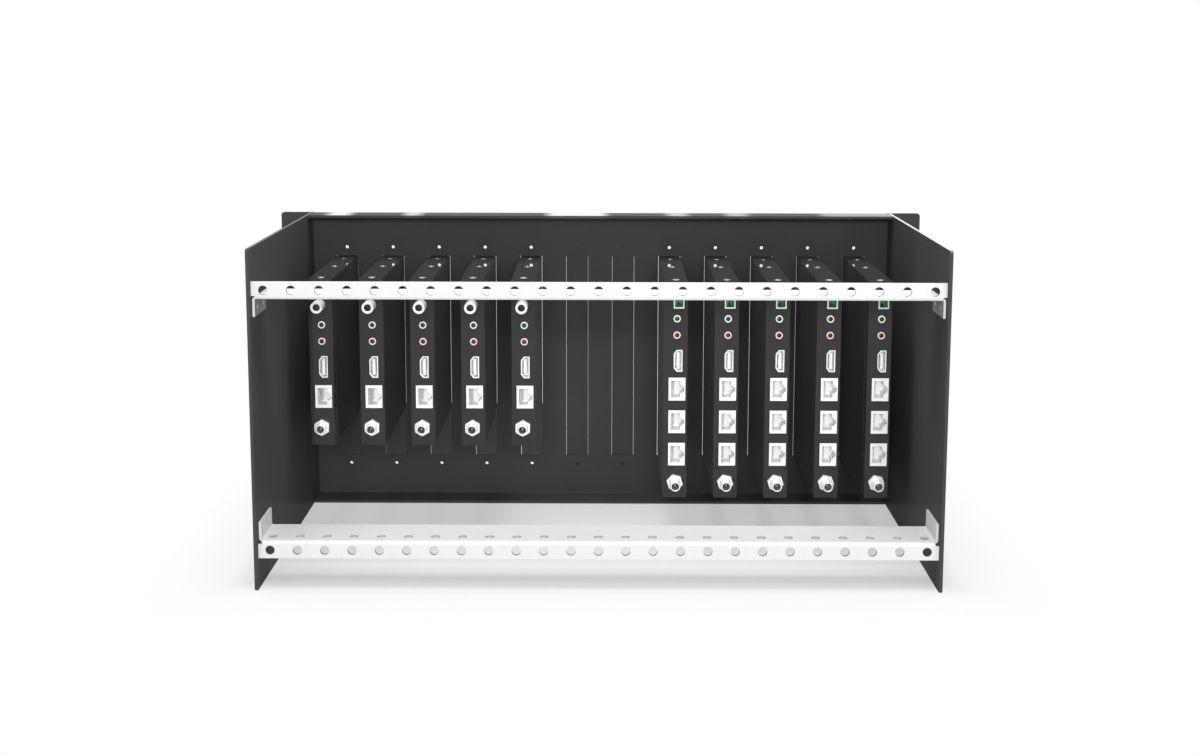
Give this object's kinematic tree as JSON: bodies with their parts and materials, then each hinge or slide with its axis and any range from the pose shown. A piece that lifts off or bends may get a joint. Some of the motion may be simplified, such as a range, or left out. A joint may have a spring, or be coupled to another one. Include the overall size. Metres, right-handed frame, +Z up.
{
  "type": "rack frame",
  "caption": "Open black sheet-steel rack frame, five units high, with perforated zinc cable bars at the rear and a row of upright plug-in modules behind its slotted front panel.",
  "frame": {"origin": "on the base, in the middle of the overall width and depth", "axes": "+X to the right as seen from the rear, +Y to the front panel, +Z up"},
  "size_m": [0.4826, 0.205, 0.2205],
  "materials": {
    "black_paint": "semi-gloss powder coat",
    "zinc_plate": "bright zinc plate",
    "bright_steel": "plain",
    "black_steel": "black oxide",
    "black_case": "semi-gloss black",
    "black_plastic": "moulded",
    "white_plastic": "moulded",
    "nickel": "bright nickel plate",
    "green_plastic": "moulded",
    "pale_green_plastic": "moulded",
    "pale_red_plastic": "moulded"
  },
  "bodies": {
    "root": {"front_panel": "black_paint", "left_side_panel": "black_paint", "right_side_panel": "black_paint", "upper_cable_bar": "zinc_plate", "lower_cable_bar": "zinc_plate", "cable_bar_screws": "bright_steel", "blanking_strip_6": "black_paint", "blanking_strip_7": "black_paint", "blanking_strip_screws": "black_steel", "module_1_case": "black_case", "module_1_rear_plate": "black_case", "module_1_bezel": "black_plastic", "module_2_case": "black_case", "module_2_rear_plate": "black_case", "module_2_bezel": "black_plastic", "module_3_case": "black_case", "module_3_rear_plate": "black_case", "module_3_bezel": "black_plastic", "module_4_case": "black_case", "module_4_rear_plate": "black_case", "module_4_bezel": "black_plastic", "module_5_case": "black_case", "module_5_rear_plate": "black_case", "module_5_bezel": "black_plastic", "module_8_case": "black_case", "module_8_rear_plate": "black_case", "module_8_bezel": "black_plastic", "module_9_case": "black_case", "module_9_rear_plate": "black_case", "module_9_bezel": "black_plastic", "module_10_case": "black_case", "module_10_rear_plate": "black_case", "module_10_bezel": "black_plastic", "module_11_case": "black_case", "module_11_rear_plate": "black_case", "module_11_bezel": "black_plastic", "module_12_case": "black_case", "module_12_rear_plate": "black_case", "module_12_bezel": "black_plastic", "cover_screws": "bright_steel", "coax_sockets": "nickel", "terminal_blocks": "green_plastic", "terminal_pins": "nickel", "green_audio_sockets": "pale_green_plastic", "red_audio_sockets": "pale_red_plastic", "video_socket_shells": "nickel", "video_socket_inserts": "white_plastic", "network_sockets": "nickel", "power_sockets": "nickel", "power_socket_nuts": "nickel"}
  },
  "joints": []
}
